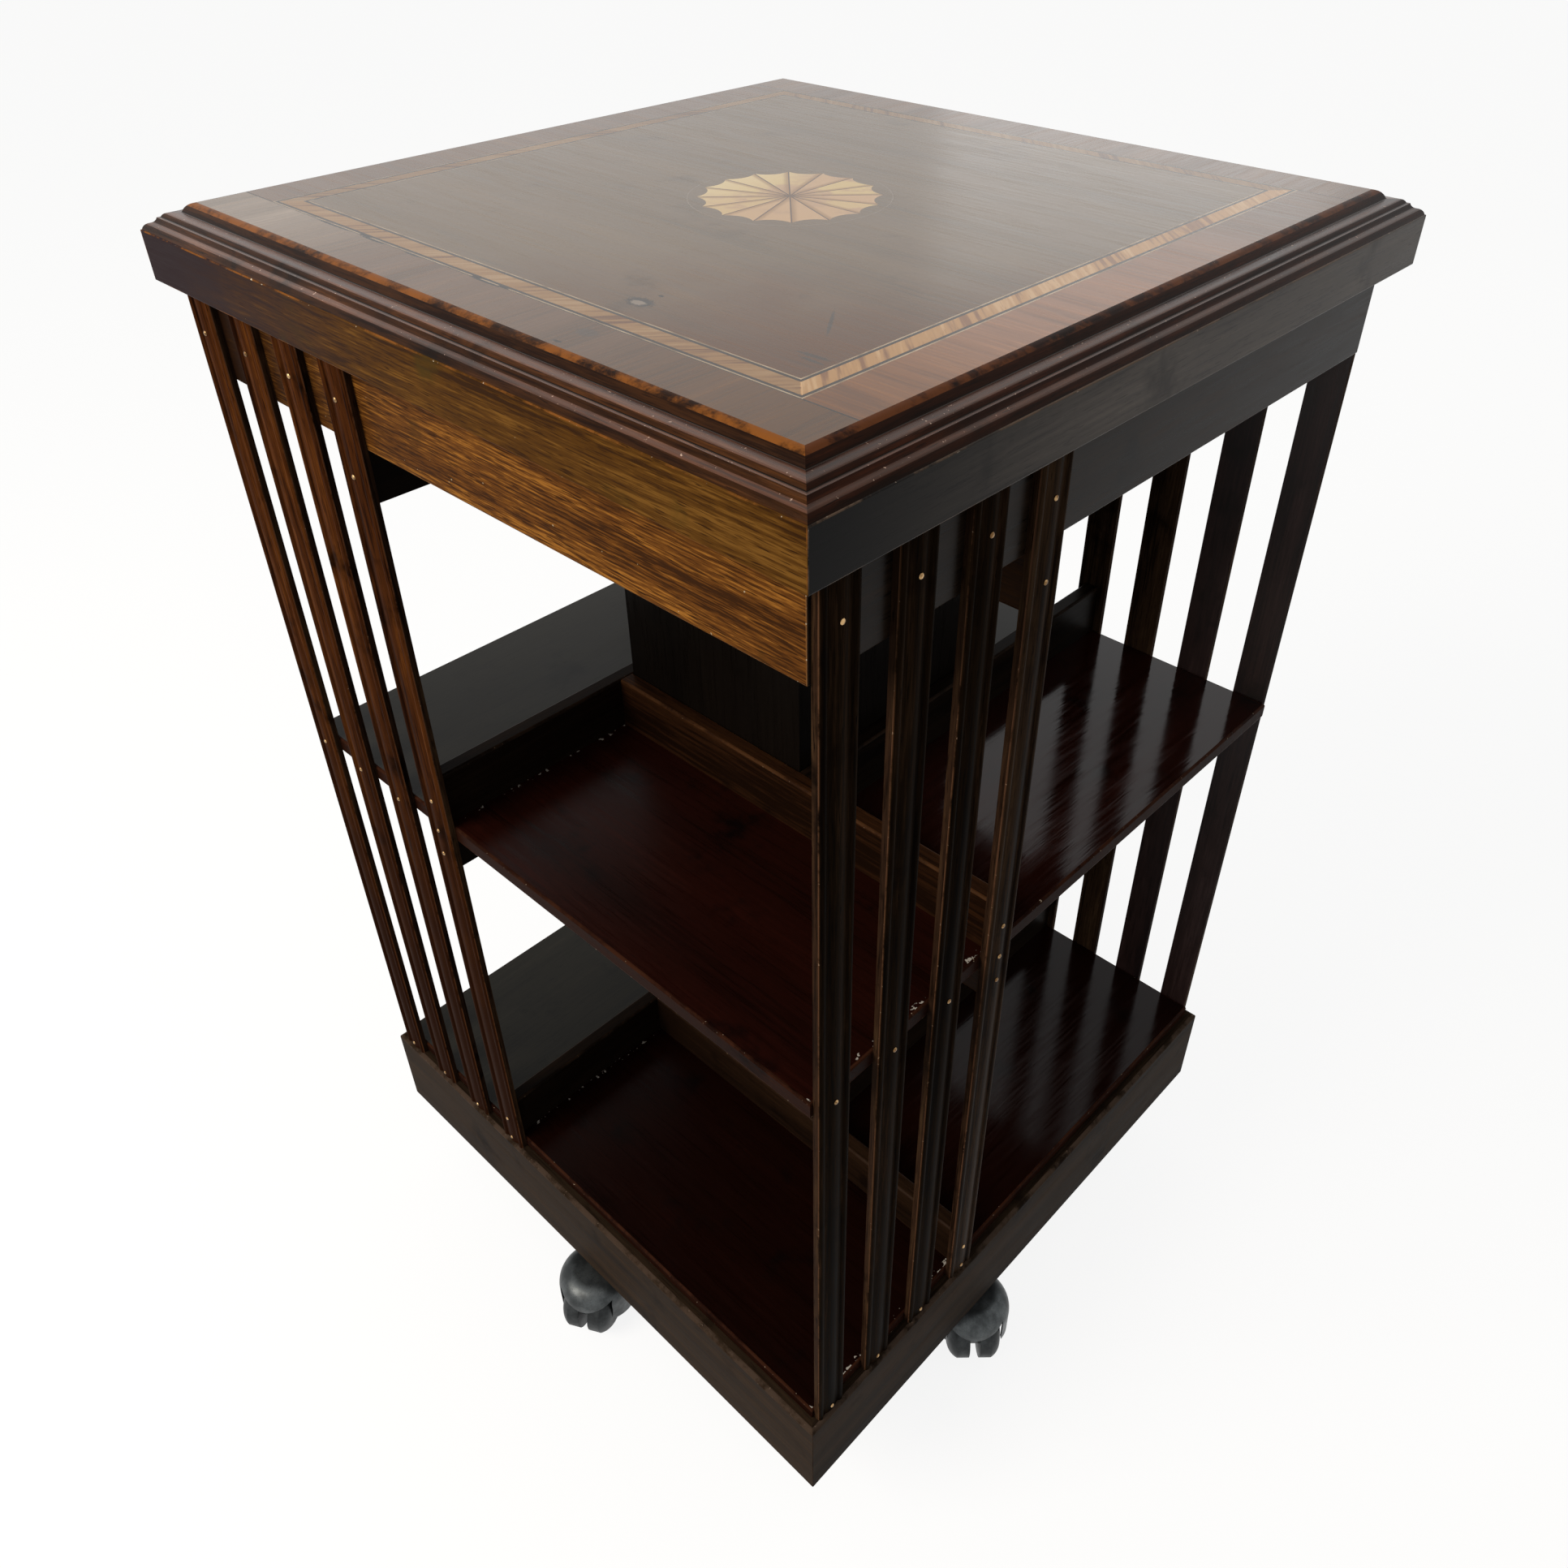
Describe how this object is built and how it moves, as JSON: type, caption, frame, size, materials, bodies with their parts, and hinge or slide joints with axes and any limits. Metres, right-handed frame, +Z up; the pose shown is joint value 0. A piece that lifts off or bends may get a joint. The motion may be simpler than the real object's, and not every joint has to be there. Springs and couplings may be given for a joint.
{
  "type": "revolving bookcase",
  "caption": "Square two-tier revolving bookcase in mahogany: pinwheel book bays fenced by reeded slats, inlaid moulded top, turning on a centre post on a castored cross.",
  "frame": {"origin": "on the floor, on the axis that the case turns about", "axes": "+Z up along the turning axis, -Y out of the front face, +X out of the right face"},
  "size_m": [0.505, 0.5186, 0.808],
  "materials": {
    "case_mahogany": "dark polished stain, worn arrises",
    "shelf_mahogany": "glossy dark red polish",
    "frieze_mahogany": "worn brown stain",
    "top_mahogany": "polished veneer",
    "ebonised_panel": "black stained",
    "satinwood": "polished veneer",
    "boxwood": "polished line inlay",
    "pin_brass": "dull brass",
    "base_beech": "plain stained",
    "bearing_steel": "turned steel",
    "castor_metal": "grey worn metal",
    "castor_wheel_metal": "grey worn metal"
  },
  "bodies": {
    "base": {"cross_bar_lower": "base_beech", "cross_bar_upper": "base_beech", "centre_post": "base_beech", "pivot_pin": "bearing_steel", "castor_ferrules": "bearing_steel"},
    "case": {"plinth": "case_mahogany", "floor_board": "shelf_mahogany", "guide_ring": "bearing_steel", "column": "ebonised_panel", "floor_rails": "shelf_mahogany", "shelf_hanging_rails": "shelf_mahogany", "mid_shelf": "shelf_mahogany", "shelf_rails": "shelf_mahogany", "top_hanging_rails": "shelf_mahogany", "brass_pins": "pin_brass", "frieze": "frieze_mahogany", "fascia": "frieze_mahogany", "soffit_board": "frieze_mahogany", "pivot_socket": "bearing_steel", "top_board": "top_mahogany", "top_moulding": "top_mahogany", "crossbanding": "top_mahogany", "stringing": "boxwood", "satinwood_band": "satinwood", "field_veneer": "top_mahogany", "patera": "satinwood", "patera_ground": "top_mahogany", "slat_front_1": "case_mahogany", "slat_front_2": "case_mahogany", "slat_front_3": "case_mahogany", "slat_front_4": "case_mahogany", "slat_right_1": "case_mahogany", "slat_right_2": "case_mahogany", "slat_right_3": "case_mahogany", "slat_right_4": "case_mahogany", "slat_back_1": "case_mahogany", "slat_back_2": "case_mahogany", "slat_back_3": "case_mahogany", "slat_back_4": "case_mahogany", "slat_left_1": "case_mahogany", "slat_left_2": "case_mahogany", "slat_left_3": "case_mahogany", "slat_left_4": "case_mahogany"},
    "castor_right": {"castor_hood_right": "castor_metal", "castor_axle_right": "bearing_steel"},
    "wheel_right_a": {"castor_wheel_right_a": "castor_wheel_metal"},
    "wheel_right_b": {"castor_wheel_right_b": "castor_wheel_metal"},
    "castor_back": {"castor_hood_back": "castor_metal", "castor_axle_back": "bearing_steel"},
    "wheel_back_a": {"castor_wheel_back_a": "castor_wheel_metal"},
    "wheel_back_b": {"castor_wheel_back_b": "castor_wheel_metal"},
    "castor_left": {"castor_hood_left": "castor_metal", "castor_axle_left": "bearing_steel"},
    "wheel_left_a": {"castor_wheel_left_a": "castor_wheel_metal"},
    "wheel_left_b": {"castor_wheel_left_b": "castor_wheel_metal"},
    "castor_front": {"castor_hood_front": "castor_metal", "castor_axle_front": "bearing_steel"},
    "wheel_front_a": {"castor_wheel_front_a": "castor_wheel_metal"},
    "wheel_front_b": {"castor_wheel_front_b": "castor_wheel_metal"}
  },
  "joints": [
    {"name": "case_turn", "type": "hinge", "parent": "base", "child": "case", "pos_m": [0, 0, 0.731], "axis": [0, 0, 1], "continuous": true},
    {"name": "castor_swivel_right", "type": "hinge", "parent": "base", "child": "castor_right", "pos_m": [0.20288, -0.02132, 0.054], "axis": [0, 0, 1], "continuous": true},
    {"name": "wheel_roll_right_a", "type": "hinge", "parent": "castor_right", "child": "wheel_right_a", "pos_m": [0.2272, -0.0465, 0.022], "axis": [0.7193, 0.6947, 0], "continuous": true},
    {"name": "wheel_roll_right_b", "type": "hinge", "parent": "castor_right", "child": "wheel_right_b", "pos_m": [0.2272, -0.0465, 0.022], "axis": [0.7193, 0.6947, 0], "continuous": true},
    {"name": "castor_swivel_back", "type": "hinge", "parent": "base", "child": "castor_back", "pos_m": [0.02132, 0.20288, 0.054], "axis": [0, 0, 1], "continuous": true},
    {"name": "wheel_roll_back_a", "type": "hinge", "parent": "castor_back", "child": "wheel_back_a", "pos_m": [0.00489, 0.23379, 0.022], "axis": [-0.8829, -0.4695, 0], "continuous": true},
    {"name": "wheel_roll_back_b", "type": "hinge", "parent": "castor_back", "child": "wheel_back_b", "pos_m": [0.00489, 0.23379, 0.022], "axis": [-0.8829, -0.4695, 0], "continuous": true},
    {"name": "castor_swivel_left", "type": "hinge", "parent": "base", "child": "castor_left", "pos_m": [-0.20288, 0.02132, 0.054], "axis": [0, 0, 1], "continuous": true},
    {"name": "wheel_roll_left_a", "type": "hinge", "parent": "castor_left", "child": "wheel_left_a", "pos_m": [-0.2272, 0.0465, 0.022], "axis": [-0.7193, -0.6947, 0], "continuous": true},
    {"name": "wheel_roll_left_b", "type": "hinge", "parent": "castor_left", "child": "wheel_left_b", "pos_m": [-0.2272, 0.0465, 0.022], "axis": [-0.7193, -0.6947, 0], "continuous": true},
    {"name": "castor_swivel_front", "type": "hinge", "parent": "base", "child": "castor_front", "pos_m": [-0.02132, -0.20288, 0.054], "axis": [0, 0, 1], "continuous": true},
    {"name": "wheel_roll_front_a", "type": "hinge", "parent": "castor_front", "child": "wheel_front_a", "pos_m": [-0.00489, -0.23379, 0.022], "axis": [0.8829, 0.4695, 0], "continuous": true},
    {"name": "wheel_roll_front_b", "type": "hinge", "parent": "castor_front", "child": "wheel_front_b", "pos_m": [-0.00489, -0.23379, 0.022], "axis": [0.8829, 0.4695, 0], "continuous": true}
  ]
}
